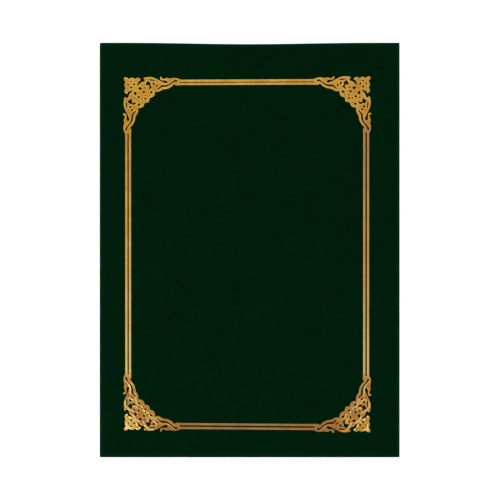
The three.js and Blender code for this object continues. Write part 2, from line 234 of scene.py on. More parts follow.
def foilMaterial(look):
    material, tree, shader, place = newMaterial("stamped_gold_foil")
    tone = addNode(tree, "Attribute", attribute_name="tone")
    blotch = addNode(
        tree, "TexNoise",
        {"Vector": place, "Scale": repeats(look["blotch"]), "Detail": 4, "Roughness": 0.75},
    )
    span = limits("From", look["blotchRange"])
    shift = addNode(
        tree, "MapRange",
        {"Value": blotch.outputs["Fac"], **span, **limits("To", look["blotchShift"])},
    )
    toned = addNode(tree, "Math", {0: tone.outputs["Fac"], 1: shift}, operation="ADD")
    colour = addNode(
        tree, "ValToRGB", {"Fac": toned},
        stops=[(0, look["brown"]), (1, look["pale"]), (0.35, look["deep"]), (0.6, look["warm"])],
    )
    haze = addNode(tree, "Attribute", attribute_name="haze")
    hazed = addNode(
        tree, "Mix", {"Factor": haze.outputs["Fac"], "A": colour, "B": toLinear(look["haze"])},
        data_type="RGBA",
    )
    grain = addNode(
        tree, "TexNoise",
        {"Vector": place, "Scale": repeats(look["grain"]), "Detail": 2, "Roughness": 0.5},
    )
    bump = addNode(
        tree, "Bump",
        {"Height": grain.outputs["Fac"], "Strength": 0.5, "Distance": look["relief"] * mm},
    )
    rough = addNode(
        tree, "MapRange",
        {"Value": blotch.outputs["Fac"], **span, **limits("To", look["roughness"])},
    )
    setInputs(tree, shader, {
        "Base Color": hazed,
        "Metallic": 1,
        "Roughness": rough,
        "Normal": bump,
    })
    return material


# Lining paper: heavy cream stock, calendered between linen cloths, so that a faint crossed thread
# mark catches raking light, with soft cloudiness of the pulp.
liningLook = {
    "dark": "#d6caae",
    "light": "#e4dac1",
    "cloud": 5,
    "thread": 0.7,
    "relief": 0.02,
}


def liningMaterial(look):
    material, tree, shader, place = newMaterial("linen_marked_paper")
    cloud = addNode(
        tree, "TexNoise",
        {"Vector": place, "Scale": repeats(look["cloud"]), "Detail": 6, "Roughness": 0.7},
    )
    colour = addNode(
        tree, "ValToRGB", {"Fac": cloud.outputs["Fac"]},
        stops=[(0.3, look["dark"]), (0.7, look["light"])],
    )
    warp, weft = (
        addNode(
            tree, "TexWave",
            {
                "Vector": place,
                "Scale": waveRepeats(look["thread"]),
                "Distortion": 1.2,
                "Detail": 2,
                "Detail Scale": 0.4,
            },
            bands_direction=direction,
        )
        for direction in ("X", "Y")
    )
    crossed = addNode(
        tree, "Math", {0: warp.outputs["Fac"], 1: weft.outputs["Fac"]}, operation="MAXIMUM",
    )
    bump = addNode(
        tree, "Bump", {"Height": crossed, "Strength": 0.6, "Distance": look["relief"] * mm},
    )
    setInputs(tree, shader, {
        "Base Color": colour,
        "Roughness": 0.78,
        "Normal": bump,
        "IOR": 1.5,
        "Specular IOR Level": 0.3,
    })
    return material


# Satin ribbon: polyester woven with long floats, so that the face is smooth and lustrous along the
# tape. Threads of 0.15 mm are drawn at 0.4 mm, as coarse as they need to be to show.
ribbonLook = {
    "dark": "#d9d0b9",
    "light": "#ece5d3",
    "thread": 0.4,
    "relief": 0.02,
}


def ribbonMaterial(look):
    material, tree, shader, _ = newMaterial("satin_ribbon")
    along = addNode(tree, "UVMap", uv_map="weave")
    threads = addNode(
        tree, "TexWave",
        {
            "Vector": along,
            "Scale": waveRepeats(look["thread"]),
            "Distortion": 0.6,
            "Detail": 2,
            "Detail Scale": 0.2,
        },
        bands_direction="X",
    )
    colour = addNode(
        tree, "ValToRGB", {"Fac": threads.outputs["Fac"]},
        stops=[(0.1, look["dark"]), (0.9, look["light"])],
    )
    bump = addNode(
        tree, "Bump",
        {"Height": threads.outputs["Fac"], "Strength": 0.5, "Distance": look["relief"] * mm},
    )
    setInputs(tree, shader, {
        "Base Color": colour,
        "Roughness": 0.38,
        "Normal": bump,
        "IOR": 1.53,
        "Specular IOR Level": 0.6,
        "Sheen Weight": 0.25,
        "Sheen Roughness": 0.4,
    })
    return material


# Greyboard and infill card: pressed waste pulp, matt, with dark and pale fibres mixed through.
boardLook = {
    "greyboard": ("#777167", "#9a9486"),
    "infill_card": ("#cabfa4", "#ddd3ba"),
    "fibre": 1.5,
}


def boardMaterial(name, look):
    material, tree, shader, place = newMaterial(name)
    dark, light = look[name]
    fibres = addNode(
        tree, "TexNoise",
        {"Vector": place, "Scale": repeats(look["fibre"]), "Detail": 6, "Roughness": 0.75},
    )
    colour = addNode(
        tree, "ValToRGB", {"Fac": fibres.outputs["Fac"]}, stops=[(0.35, dark), (0.65, light)],
    )
    setInputs(tree, shader, {"Base Color": colour, "Roughness": 0.92, "Specular IOR Level": 0.2})
    return material


leatherette = leatheretteMaterial(leatheretteLook)
goldFoil = foilMaterial(foilLook)
liningPaper = liningMaterial(liningLook)
satin = ribbonMaterial(ribbonLook)
greyboard = boardMaterial("greyboard", boardLook)
infillCard = boardMaterial("infill_card", boardLook)
print("materials made")


# Points nearer to each other than weld become one, and edges shorter than sliver go
meshCare = {
    "weld": 0.002,
    "sliver": 0.001,
    "sharpAngle": 50,
}


# Pieces: points in millimetres, faces as lists of point numbers, point values as attributes
def newPiece(name, points, faces, material, thickness=0, values=None, weave=None, outward=False):
    mesh = bpy.data.meshes.new(name)
    mesh.from_pydata([[c * mm for c in p] for p in points], [], faces)
    for attribute, numbers in (values or {}).items():
        mesh.attributes.new(attribute, "FLOAT", "POINT").data.foreach_set("value", numbers)
    if weave:
        layer = mesh.uv_layers.new(name="weave")
        for loop in mesh.loops:
            layer.data[loop.index].uv = [c * mm for c in weave[loop.vertex_index]]
    form = bmesh.new()
    form.from_mesh(mesh)
    bmesh.ops.remove_doubles(form, verts=form.verts, dist=meshCare["weld"] * mm)
    bmesh.ops.dissolve_degenerate(form, edges=form.edges, dist=meshCare["sliver"] * mm)
    if outward:
        bmesh.ops.recalc_face_normals(form, faces=form.faces)
    form.to_mesh(mesh)
    form.free()
    mesh.materials.append(material)
    piece = bpy.data.objects.new(name, mesh)
    scene.collection.objects.link(piece)
    if thickness:
        sheet = piece.modifiers.new("thickness", "SOLIDIFY")
        sheet.thickness = thickness * mm
        sheet.offset = -1
        sheet.use_even_offset = True
        bpy.context.view_layer.update()
        thick = piece.evaluated_get(bpy.context.evaluated_depsgraph_get())
        solid = bpy.data.meshes.new_from_object(thick)
        piece.modifiers.clear()
        piece.data = solid
        bpy.data.meshes.remove(mesh)
        solid.name = name
    piece.data.shade_smooth()
    piece.data.set_sharp_from_angle(angle=math.radians(meshCare["sharpAngle"]))
    return piece


def seat(piece, body, material, *replaced):
    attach(piece, body)
    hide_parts(*replaced)


# The faces of a grid of points with so many columns. Skip leaves a row and column out, and closed
# joins the last column to the first.
def gridFaces(rows, columns, first=0, skip=None, closed=False):
    faces = []
    for r in range(rows - 1):
        for c in range(columns if closed else columns - 1):
            if skip and skip(r, c):
                continue
            here, after = (first + r * columns + i % columns for i in (c, c + 1))
            faces.append([here, after, after + columns, here + columns])
    return faces


def flipped(faces):
    return [face[::-1] for face in faces]


# The sides of faces that no other face shares
def openSides(faces):
    sides = set()
    for face in faces:
        for side in zip(face, face[1:] + face[:1]):
            if side[::-1] in sides:
                sides.remove(side[::-1])
            else:
                sides.add(side)
    return sides


def spread(low, high, count):
    return [low + (high - low) * i / count for i in range(count + 1)]


# A rectangle's corners by name: x, y and the ways inwards
def cornersOf(low, high):
    return {
        "head_spine": (low[0], high[1], 1, -1),
        "head_fore": (high[0], high[1], -1, -1),
        "tail_spine": (low[0], low[1], 1, 1),
        "tail_fore": (high[0], low[1], -1, 1),
    }


# Heights through a cover, measured from its outer face: up in the back one, down in the front one
backBox = boxOf("back_wrap")
holderThickness = boxOf("front_wrap")[1][2]
coverDepth = backBox[1][2]
foreEdge = backBox[1][0]
headEdge = backBox[1][1]
hingeEdge = backBox[0][0]
spineFace = boxOf("spine_wrap")[0][0]
jointEdge = boxOf("back_board")[0][0]
covers = {
    "back": lambda depth: depth,
    "front": lambda depth: holderThickness - depth,
}


# The least and the greatest depth of a node in its cover
def depthsOf(side, node):
    low, high = boxOf(node)
    return sorted(covers[side](z) for z in (low[2], high[2]))


# Turned edges: the wrap rolls over the board's rim as a flat quarter ellipse and tightly under it
turnedEdge = {
    "roll": 2.0,
    "rollDrop": 0.55,
    "spineDrop": 0.5,
    "under": 0.5,
    "rollSteps": 9,
    "underSteps": 4,
    "support": 1.2,
    "cornerRadius": 0.6,
    "cornerSteps": 5,
    "wrap": 0.4,
    "turnIn": 15,
    "turnInMiddle": 8,
    "faceColumns": 14,
    "faceRows": 18,
    "mitreSetback": 2,
    "mitreSlit": 0.3,
    "tuckSpare": 0.025,
    # How far in from an edge the painted edge highlight fades out
    "highlightReach": 3.2,
    "headBow": 1.05,
    "bowSetback": 20.5,
}


def edgeDrop(inset):
    share = 1 - min(inset / turnedEdge["roll"], 1)
    return turnedEdge["spineDrop"] * (1 - math.sqrt(max(1 - share * share, 0)))


# How far the head edge draws in at x
def headDraw(x):
    half = foreEdge - turnedEdge["bowSetback"]
    return turnedEdge["headBow"] * smoothStep(half, 0, abs(x))


# Inset and depth of each row, from the outer face round the edge to where the mitre starts
def edgeRows(depth):
    edge = turnedEdge
    rows = [(edge["roll"] + edge["support"], 0)]
    for turn in spread(0, math.pi / 2, edge["rollSteps"]):
        rows.append((edge["roll"] * (1 - math.sin(turn)), edge["rollDrop"] * (1 - math.cos(turn))))
    for turn in spread(0, math.pi / 2, edge["underSteps"]):
        lift = edge["under"] * (1 - math.sin(turn))
        rows.append((edge["under"] * (1 - math.cos(turn)), depth - lift))
    rows.append((edge["mitreSetback"], depth))
    return rows


# Strength of the painted highlight on the leatherette, at an inset from a turned edge
def edgeHighlightAt(inset):
    return 1 - smoothStep(0, turnedEdge["highlightReach"], inset)


# Tucks close a board's raw edge at the joint: faces from a column of a grid to new points
def tuckFaces(firstRow, count, columns, column, start, first, before):
    faces = []
    for i in range(count - 1):
        here = start + (firstRow + i) * columns + column
        face = [here, here + columns, first + i + 1, first + i]
        faces.append(face if before else face[::-1])
    return faces


# One ring round tail, fore-edge and head at an inset, with its three straight runs and two corners
def coverRing(inset, xs, ys):
    edge = turnedEdge
    radius = max(edge["cornerRadius"] * (1 - inset / edge["mitreSetback"]), 0)
    fore = foreEdge - inset
    side = headEdge - inset
    midX, midY = fore - radius, side - radius
    arc = spread(0, math.pi / 2, edge["cornerSteps"])
    tail = [(x, -side) for x in xs]
    tail += [(midX + radius * math.sin(a), -midY - radius * math.cos(a)) for a in arc]
    head = [(midX + radius * math.cos(a), midY + radius * math.sin(a)) for a in arc]
    head += [(x, side - headDraw(x)) for x in reversed(xs)]
    return tail + [(fore, y) for y in ys] + head


# Leatherette round one cover: the outer face, the turned edges and three mitred turn-ins
def coverWrap(side):
    edge = turnedEdge
    level = covers[side]
    rows = edgeRows(coverDepth)
    inner = rows[0][0]
    xs = [hingeEdge, jointEdge - edge["tuckSpare"]]
    xs += spread(jointEdge, foreEdge - inner, edge["faceColumns"])[1:-1]
    ys = spread(inner - headEdge, headEdge - inner, edge["faceRows"])[1:-1]
    points = []
    values = []
    for inset, depth in rows:
        ring = coverRing(inset, xs, ys)
        points += [(x, y, level(depth)) for x, y in ring]
        # Painted edge highlight, from the cover's edges and from the spine
        values += [max(edgeHighlightAt(inset), edgeHighlightAt(x - spineFace)) for x, _ in ring]
    columns = len(ring)
    tongueEnd = 1 + edge["rollSteps"]
    ends = (0, columns - 2)
    faces = gridFaces(len(rows), columns, 0, lambda r, c: r >= tongueEnd and c in ends)

    # Tucks at tail and head
    reach = headEdge - edge["mitreSetback"] - edge["mitreSlit"]
    tucked = [edge["wrap"]] + [depth for _, depth in rows[tongueEnd + 1:]]
    for column, y in ((1, -reach), (columns - 2, reach)):
        faces += tuckFaces(tongueEnd, len(tucked), columns, column, 0, len(points), y < 0)
        points += [(xs[1], y, level(depth)) for depth in tucked]
        values += [0] * len(tucked)

    # The flat face inside the first row
    first = len(points)
    innerXs = xs + [foreEdge - inner]
    innerYs = [inner - headEdge] + ys + [headEdge - inner]
    for y in innerYs:
        head = y == innerYs[-1]
        points += [(x, y - (headDraw(x) if head else 0), level(0)) for x in innerXs]
        values += [edgeHighlightAt(x - spineFace) for x in innerXs]
    faces += flipped(gridFaces(len(innerYs), len(innerXs), first))

    # Turn-ins past the start of the mitres: tail, fore-edge and head
    half = edge["mitreSlit"] / math.sqrt(2)
    insets = [edge["mitreSetback"], edge["mitreSetback"] + edge["mitreSlit"]]
    insets += [edge["turnInMiddle"], edge["turnIn"]]
    runs = (
        lambda d, s: [(x, d - headEdge) for x in xs[1:]] + [(foreEdge - d - s, d - headEdge)],
        lambda d, s: [(foreEdge - d, y) for y in [d + s - headEdge] + ys + [headEdge - d - s]],
        lambda d, s: [(foreEdge - d - s, headEdge - d)]
        + [(x, headEdge - d - headDraw(x)) for x in xs[:0:-1]],
    )
    for run in runs:
        first = len(points)
        for inset in insets:
            line = run(inset, 0 if inset == edge["mitreSetback"] else half)
            points += [(x, y, level(coverDepth)) for x, y in line]
            values += [0] * len(line)
        faces += gridFaces(len(insets), len(line), first)
    if side == "front":
        faces = flipped(faces)
    edgeHighlight = {"edgeHighlight": values}
    piece = newPiece(f"{side}_cover_wrap", points, faces, leatherette, edge["wrap"], edgeHighlight)
    seat(piece, f"{side}_cover", leatherette, f"{side}_wrap")


for side in covers:
    coverWrap(side)
print("covers wrapped")


# A closed solid along the spine from sections of equal length, each a y and a list of (x, z)
def runAlongSpine(name, sections, material, values=None):
    count = len(sections[0][1])
    points = [(x, y, z) for y, section in sections for x, z in section]
    faces = gridFaces(len(sections), count, closed=True)
    faces.append(list(range(count))[::-1])
    faces.append(list(range(len(points) - count, len(points))))
    return newPiece(name, points, faces, material, values=values, outward=True)


# Insets from head and tail at which a run along the spine takes a section, then the same mirrored
def spineStations(insets):
    low = [(-headEdge + inset, inset) for inset in insets]
    return low + [(-y, inset) for y, inset in reversed(low)]


# Hinge cloth: wrap and inner strip bonded into one skin, a quarter turn round each joint
hingeLook = {
    "radius": 1.5,
    "skin": 0.7,
    "steps": 14,
    "insets": (0, 0.03, 0.12, 0.3, 0.6, 1, 1.5, 2, 3.2, 40),
}


def hingeCloth(side):
    look = hingeLook
    level = covers[side]
    spineEnd = boxOf("spine_wrap")[0][2]
    sections = []
    values = []
    for y, inset in spineStations(look["insets"]):
        outer = look["radius"] - edgeDrop(inset)
        inner = look["radius"] - look["skin"]
        skins = []
        for radius in (outer, inner):
            arc = [
                (
                    spineFace + look["radius"] - radius * math.cos(a),
                    look["radius"] - radius * math.sin(a),
                )
                for a in spread(0, math.pi / 2, look["steps"])
            ]
            skins.append([(arc[0][0], spineEnd), *arc, (hingeEdge, arc[-1][1])])
        section = skins[0] + skins[1][::-1]
        sections.append((y, [(x, level(z)) for x, z in section]))
        # Painted edge highlight, from the hinge's ends and from the spine
        values += [max(edgeHighlightAt(inset), edgeHighlightAt(x - spineFace)) for x, _ in section]
    piece = runAlongSpine(f"{side}_hinge", sections, leatherette, {"edgeHighlight": values})
    start = Vector((spineFace + look["radius"], 0, level(0))) * mm
    end = Vector((spineFace, 0, level(look["radius"]))) * mm
    if side == "back":
        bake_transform(piece)
    else:
        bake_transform(piece)
    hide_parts(f"{side}_hinge_cloth")


for side in covers:
    hingeCloth(side)


# Spine: the wrap turned over the board at head and tail, and the inner strip that lines the inside
spineLook = {
    "columns": 6,
    "stripSetback": 2,
    "stripStation": 22,
    "stripThickness": 0.3,
    "riserGap": 0.05,
    "liningGap": 0.02,
    "bend": 0.35,
    "bendSteps": 4,
}


def spineWrap():
    low, high = boxOf("spine_wrap")
    boardLow, boardHigh = boxOf("spine_board")
    rows = [(headEdge, 0)] + edgeRows(high[0] - low[0])
    tongueEnd = 2 + turnedEdge["rollSteps"]
    tucked = [turnedEdge["wrap"]] + [depth for _, depth in rows[tongueEnd + 1:]]
    middle = turnedEdge["turnInMiddle"]
    rows += [(inset, rows[-1][1]) for inset in (middle, turnedEdge["turnIn"])]
    boardEnds = (boardLow[2] - turnedEdge["tuckSpare"], boardHigh[2] + turnedEdge["tuckSpare"])
    zs = [low[2]] + spread(*boardEnds, spineLook["columns"]) + [high[2]]
    columns = len(zs)
    points = []
    values = []
    faces = []
    for end in (1, -1):
        first = len(points)
        for inset, depth in rows:
            points += [(low[0] + depth, end * (headEdge - inset), z) for z in zs]
            # Painted edge highlight, from the spine's ends and edges
            values += [max(edgeHighlightAt(inset), edgeHighlightAt(min(z - low[2], high[2] - z))) for z in zs]
        sides = (0, columns - 2)
        half = gridFaces(len(rows), columns, first, lambda r, c: r >= tongueEnd and c in sides)
        for column, before in ((1, True), (columns - 2, False)):
            half += tuckFaces(tongueEnd, len(tucked), columns, column, first, len(points), before)
            points += [(low[0] + depth, end * (headEdge - middle), zs[column]) for depth in tucked]
            values += [0] * len(tucked)
        faces += half if end > 0 else flipped(half)
    edgeHighlight = {"edgeHighlight": values}
    piece = newPiece("spine_cover_wrap", points, faces, leatherette, turnedEdge["wrap"], edgeHighlight)
    seat(piece, "spine", leatherette, "spine_wrap")


# A strip of even thickness bent along a path of (x, z), with round bends, as a closed section
def bentStrip(path, thickness, bend, steps):
    sides = ([], [])
    for i, here in enumerate(path):
        here = Vector(here)
        before = (here - Vector(path[i - 1])).normalized() if i else None
        after = (Vector(path[i + 1]) - here).normalized() if i < len(path) - 1 else None
        for side, sign in zip(sides, (1, -1)):
            offset = sign * thickness / 2
            if before is None or after is None:
                along = after or before
                side.append(here + offset * Vector((-along.y, along.x)))
                continue
            turn = before.cross(after)
            radius = bend - offset * turn
            middle = here + bend * (after - before)
            for share in spread(0, 1, steps):
                lean = (-after).slerp(before, share)
                side.append(middle + radius * lean.normalized())
    return [tuple(p) for p in sides[0] + sides[1][::-1]]


def innerStrip(name, body, path):
    look = spineLook
    section = bentStrip(path, look["stripThickness"], look["bend"], look["bendSteps"])
    stations = spineStations((look["stripSetback"], look["stripStation"]))
    sections = [(y, section) for y, _ in stations]
    piece = runAlongSpine(f"{name}_cloth", sections, leatherette)
    seat(piece, body, leatherette, name)


spineWrap()
half = spineLook["stripThickness"] / 2
for side, level in covers.items():
    strip = f"{side}_inner_strip"
    least, greatest = depthsOf(side, strip)
    start = boxOf(strip)[0][0]
    riser = jointEdge - spineLook["riserGap"] - half
    liningEdge = boxOf(f"{side}_lining")[0][0] - spineLook["liningGap"]
    innerStrip(strip, f"{side}_cover", [
        (start, level(least + half)),
        (riser, level(least + half)),
        (riser, level(greatest - half)),
        (liningEdge, level(greatest - half)),
    ])
low, high = boxOf("spine_inner_strip")
innerStrip("spine_inner_strip", "spine", [
    (low[0], low[2] + half),
    (high[0] - half, low[2] + half),
    (high[0] - half, high[2] - half),
    (low[0], high[2] - half),
])
print("spine and hinges made")


# Ribbon corners on the back lining: each tape crosses a corner, folds round both edges and is
# tucked under. At a corner, u and v run inwards along the two edges.
ribbonTape = {
    "width": 10,
    "reach": 30,
    "thickness": 0.2,
    "flap": 5,
    "sag": 0.22,
    "across": 8,
    "along": 20,
    "foldSteps": 8,
    "flapSteps": 2,
}
ribbonCorners = cornersOf(*boxOf("back_lining"))


# One edge of a tape: distance past the fold as (distance in from the edge, height)
def foldedTape(run, low, high):
    radius = (high - low) / 2
    if run >= 0:
        return run, high
    turn = -run / radius
    if turn < math.pi:
        return -radius * math.sin(turn), (low + high) / 2 + radius * math.cos(turn)
    return -run - math.pi * radius, low


def ribbonCorner(name):
    tape = ribbonTape
    x, y, turnX, turnY = ribbonCorners[name]
    low, high = (corner[2] for corner in boxOf(f"ribbon_{name}"))
    fold = math.pi * (high - low) / 2
    under = tape["flap"] / math.sqrt(2) + fold
    half = tape["width"] / math.sqrt(2)
    runs = spread(-under, -fold, tape["flapSteps"])[:-1] + spread(-fold, 0, tape["foldSteps"])
    points = []
    weave = []
    for offset in spread(-half, half, tape["across"]):
        reach = tape["reach"] + offset
        path = [(run, False) for run in runs]
        path += [(reach * share, None) for share in spread(0, 1, tape["along"])[1:-1]]
        path += [(run, True) for run in reversed(runs)]
        for run, swapped in path:
            along = reach - run
            if swapped is None:
                sag = tape["sag"] * math.sin(math.pi * run / reach) ** 2
                u, v, z = along, run, high - sag
                distance = run * math.sqrt(2)
            else:
                inward, z = foldedTape(run, low, high)
                u, v = (inward, along) if swapped else (along, inward)
                distance = (along if swapped else run) * math.sqrt(2)
            points.append((x + turnX * u, y + turnY * v, z))
            weave.append((offset * math.sqrt(2), distance))
    faces = gridFaces(tape["across"] + 1, len(path))
    if turnX * turnY < 0:
        faces = flipped(faces)
    piece = newPiece(f"ribbon_tape_{name}", points, faces, satin, tape["thickness"], weave=weave)
    seat(piece, "back_cover", satin, f"ribbon_{name}")


# Linings: sheets with softened edges. The back one's are open below where a tape goes under.
liningSheet = {
    "sheet": 0.3,
    "edgeRadius": 0.25,
    "edgeSteps": 4,
    "edgeSupport": 0.3,
    "cornerRadius": 0.6,
    "leastRadius": 0.05,
    "cornerSteps": 4,
    "support": 1.5,
    "notchSpare": 0.8,
    "notchDrop": 0.02,
}


def liningPiece(side):
    look = liningSheet
    low, high = boxOf(f"{side}_lining")
    level = covers[side]
    foot, depth = depthsOf(side, f"{side}_lining")
    half = ribbonTape["width"] / math.sqrt(2) + look["notchSpare"]
    near, far = ribbonTape["reach"] - half, ribbonTape["reach"] + half
    notch = [(near, False), (near, True), (far, True), (far, False)] if side == "back" else []
    width, height = high[0] - low[0], high[1] - low[1]
    corners = (
        (low[0], low[1], 1, 0, width),
        (high[0], low[1], 0, 1, height),
        (high[0], high[1], -1, 0, width),
        (low[0], high[1], 0, -1, height),
    )
    arc = spread(0, math.pi / 2, look["cornerSteps"])

    def ring(inset, radius):
        line = []
        for x, y, wayX, wayY, length in corners:
            corner = Vector((x, y))
            along = Vector((wayX, wayY))
            inward = Vector((-wayY, wayX))
            centre = corner + (radius + inset) * (along + inward)
            for a in arc:
                line.append((centre - radius * (math.cos(a) * along + math.sin(a) * inward), False))
            for place, up in notch + [(length - place, up) for place, up in reversed(notch)]:
                line.append((corner + place * along + inset * inward, up))
        return line

    edge = look["edgeRadius"]
    rows = [(look["support"], depth), (edge + look["edgeSupport"], depth)]
    for turn in spread(0, math.pi / 2, look["edgeSteps"]):
        rows.append((edge * (1 - math.sin(turn)), depth - edge * (1 - math.cos(turn))))
    rows.append((0, None))
    points = []
    for inset, z in rows:
        for place, up in ring(inset, max(look["cornerRadius"] - inset, look["leastRadius"])):
            bottom = depth - edge - look["notchDrop"] if up else foot
            points.append((place.x, place.y, level(bottom if z is None else z)))
    count = len(points) // len(rows)
    faces = [[a, d, c, b] for a, b, c, d in gridFaces(len(rows), count, closed=True)]
    faces.append(list(range(count)))
    if side == "front":
        faces = flipped(faces)
    piece = newPiece(f"{side}_lining_sheet", points, faces, liningPaper, look["sheet"])
    seat(piece, f"{side}_cover", liningPaper, f"{side}_lining")


for side in covers:
    liningPiece(side)
for name in ribbonCorners:
    ribbonCorner(name)
print("linings and ribbons laid")


# Gold border: each corner piece and line keeps its outline, with a rounded rim and a shallow dish
# inside it, as a die leaves foil. The die bit deeper at the tail than at the head.
foilRelief = {
    "cell": 0.25,
    "margin": 2.5,
    "shrink": 0.16,
    "growth": 0.26,
    "crest": 0.36,
    "bowl": 0.7,
    "lip": 0.02,
    "sink": 0.02,
    "headDish": 0.03,
    "tailDish": 0.08,
    "ragged": 0.05,
    "raggedSize": 0.8,
    "lineStep": 1.5,
    "lineShares": (0, 0.03, 0.08, 0.14, 0.21, 0.3, 0.4),
    "lineSeam": 0.05,
    "smoothing": 1,
    "sample": 0.06,
    "endSpare": 0.01,
}
borderLow = (boxOf("foil_line_spine_outer")[0][0], boxOf("foil_line_tail_outer")[0][1])
borderHigh = (boxOf("foil_line_fore_outer")[1][0], boxOf("foil_line_head_outer")[1][1])
borderCorners = cornersOf(borderLow, borderHigh)
foilHigh = boxOf("foil_line_head_outer")[1][2]


def foilHeight(distance, ridge, y):
    relief = foilRelief
    rim = math.sin(math.pi / 2 * min(distance / relief["crest"], 1))
    bowl = smoothStep(relief["crest"], relief["crest"] + relief["bowl"], distance) * (1 - ridge)
    tail = smoothStep(borderHigh[1], borderLow[1], y)
    dish = relief["headDish"] + (relief["tailDish"] - relief["headDish"]) * tail
    lip = holderThickness + relief["lip"]
    return lip + (foilHigh - lip) * rim - dish * bowl


def raggedness(x, y):
    size = foilRelief["raggedSize"]
    return foilRelief["ragged"] * noise.noise(Vector((x / size, y / size, 0)))


# Raised strands of a corner piece on one side of its diagonal, as bends measured from its corner.
# Their tone is painted paler as well, a painted highlight on each strand.
foilStrands = {
    "stem": [(0.6, 36.5), (2.4, 34.3), (3.7, 31.2), (3.6, 28.2), (3.8, 25.6)],
    "curl": [(2.2, 22.8), (3.6, 23.6), (5.2, 22.4), (6, 20.6)],
    "scroll": [(-0.3, 20.6), (-0.3, 18.4), (0.3, 16.4), (2.4, 14.4), (4.4, 13.7), (5.6, 13)],
    "neck": [(6, 10.2), (6.6, 8.6), (7.2, 7.2), (6, 6)],
    "leaf": [(7.7, 23.6), (7.6, 21.6), (9, 19), (10, 17.4)],
    "bud": [(12.2, 17.8), (12, 15.8)],
    "bridge": [(12.5, 14.5), (13.7, 13.7)],
    "rosette": [(5.8, 16.4), (7.4, 17), (8.8, 15.6)],
    "petal": [(2.8, 8.6), (4.4, 8)],
    "lobe": [(0.1, 11), (0.8, 10.5)],
    "tip": [(0.3, 0.3), (1, 1.6), (0.9, 4.2)],
}
strandLook = {
    "smoothing": 3,
    "sample": 0.2,
    "reach": (0.2, 1),
    "crease": (0.7, 1.2, 2),
    "creaseShare": 0.5,
}


# How pale and how hazy the foil is. On corner pieces the rim differs from the dish, strands and the
# tip of the fleuron are paler, and haze lies along the edge. The paler rims, strands and tip are
# painted highlights and the darker dishes painted shade, darkest in the tail corners.
# Lines change from the spine or tail end to the other end, as painted reflection of light that
# falls unevenly along them, and turn is how far along the corner's arm at each end they start. The
# reaches are the distances over which rim, haze and tip fade.
foilTones = {
    "corners": {
        "head_spine": {"dish": 0.49, "rim": 0.7, "strand": 0, "tip": 0, "haze": 0.2},
        "head_fore": {"dish": 0.5, "rim": 0.64, "strand": 0, "tip": 0, "haze": 0.4},
        "tail_spine": {"dish": 0.26, "rim": 0.48, "strand": 0.56, "tip": 0.42, "haze": 0.4},
        "tail_fore": {"dish": 0.26, "rim": 0.42, "strand": 0.5, "tip": 0.16, "haze": 0.48},
    },
    "lines": {
        "head": {"pale": (0.58, 0.56), "haze": 0.08, "turn": (34, 34)},
        "tail": {"pale": (0.12, 0.08), "haze": 0.1, "turn": (20, 13)},
        "spine": {"pale": (0.8, 0.46), "haze": 0.22, "turn": (34, 34)},
        "fore": {"pale": (0.8, 0.22), "haze": 0.42, "turn": (36, 30)},
    },
    "lineRim": 0.08,
    "armTurn": 12,
    "rimReach": {"head": (0.1, 0.65), "tail": (0.25, 0.95)},
    "hazeReach": {"head": (0.1, 0.7), "tail": (0.25, 0.95)},
    "tipReach": (8, 18),
}


# Share of the painted rim highlight, from a distance in from the foil's edge
def rimShare(edge, distance):
    return 1 - smoothStep(*foilTones["rimReach"][edge], distance)


# A line's tone: painted reflection changing along it, with a painted highlight along its rim
def lineTone(line, share, distance):
    tones = foilTones["lines"][line]
    start, end = tones["pale"]
    rim = foilTones["lineRim"] * rimShare("head", distance)
    return Vector((start + (end - start) * share + rim, tones["haze"]))


def cornerTone(name, u, v, distance, ridge):
    edge, side = name.split("_")
    dish, rim, strand, tip, haze = foilTones["corners"][name].values()
    # The fleuron's paler tip is a painted highlight
    tip *= 1 - smoothStep(*foilTones["tipReach"], u + v)
    haze *= 1 - smoothStep(*foilTones["hazeReach"][edge], distance)
    pale = dish + (rim - dish) * rimShare(edge, distance) + tip
    tone = Vector((pale, haze * (1 - ridge * strand) * (1 - tip)))
    for line, along, end in ((edge, u, side == "fore"), (side, v, edge == "head")):
        turn = foilTones["lines"][line]["turn"][end]
        turned = smoothStep(turn, turn + foilTones["armTurn"], along)
        tone += (lineTone(line, end, distance) - tone) * turned
        strand *= 1 - turned / 2
    # Painted highlight on strands and painted shade in the creases beside them
    return tone + Vector((strand * ridge, 0))


# The dies sat a little out of square: how far each corner of the border is off, and how far inwards
# the outer and inner line of each side lie from where their corners would put them
stampDrift = {
    "corners": {
        "head_spine": (0.53, 0.05),
        "head_fore": (-0.3, 0.78),
        "tail_spine": (0.65, 0.93),
        "tail_fore": (-0.38, -0.55),
    },
    "lines": {
        "head": (0.73, 0.38),
        "tail": (0.02, 0.15),
        "spine": (-0.36, -0.43),
        "fore": (-0.34, -0.26),
    },
    "arm": (12, 40),
}
lineGap = (
    boxOf("foil_line_spine_outer")[1][0] - borderLow[0],
    boxOf("foil_line_spine_inner")[0][0] - borderLow[0],
)


# How far a line of the border lies inwards, at an inset from its side and a distance along it
def lineDrift(line, inset, along):
    outer, inner = stampDrift["lines"][line]
    drift = outer + (inner - outer) * smoothStep(*lineGap, inset)
    return drift * smoothStep(*stampDrift["arm"], along)


